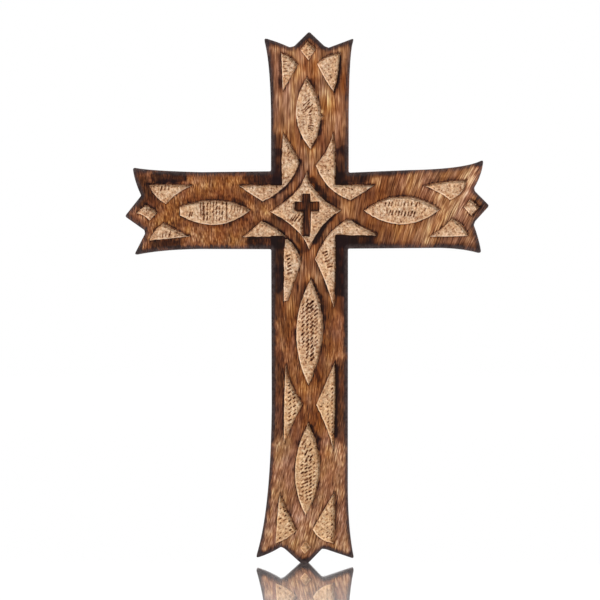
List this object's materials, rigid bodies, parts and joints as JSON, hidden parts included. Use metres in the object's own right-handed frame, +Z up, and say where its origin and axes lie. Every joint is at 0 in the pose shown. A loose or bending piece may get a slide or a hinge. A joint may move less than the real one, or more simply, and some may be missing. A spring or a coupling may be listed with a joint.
{
  "type": "wall cross",
  "caption": "Wooden wall cross with flared, pointed ends, carved in low relief with leaves, wedges and a small raised cross at the crossing, hung from a keyhole plate let into its back.",
  "frame": {"origin": "centre of the crossing on the flat back face that lies against the wall", "axes": "+X towards the right arm as seen from the front, +Z up, +Y into the wall; the carved face looks along -Y"},
  "size_m": [0.2077, 0.015, 0.3039],
  "materials": {
    "stained_wood": "stained brown mango wood with burnt edges, satin, recesses left pale",
    "dowel_wood": "plain beech",
    "plated_steel": "zinc plated"
  },
  "bodies": {
    "root": {"upright_board": "stained_wood", "left_arm_board": "stained_wood", "right_arm_board": "stained_wood", "dowel_left_upper": "dowel_wood", "dowel_left_lower": "dowel_wood", "dowel_right_upper": "dowel_wood", "dowel_right_lower": "dowel_wood", "keyhole_hanger": "plated_steel", "hanger_screw_upper": "plated_steel", "hanger_screw_lower": "plated_steel"}
  },
  "joints": []
}
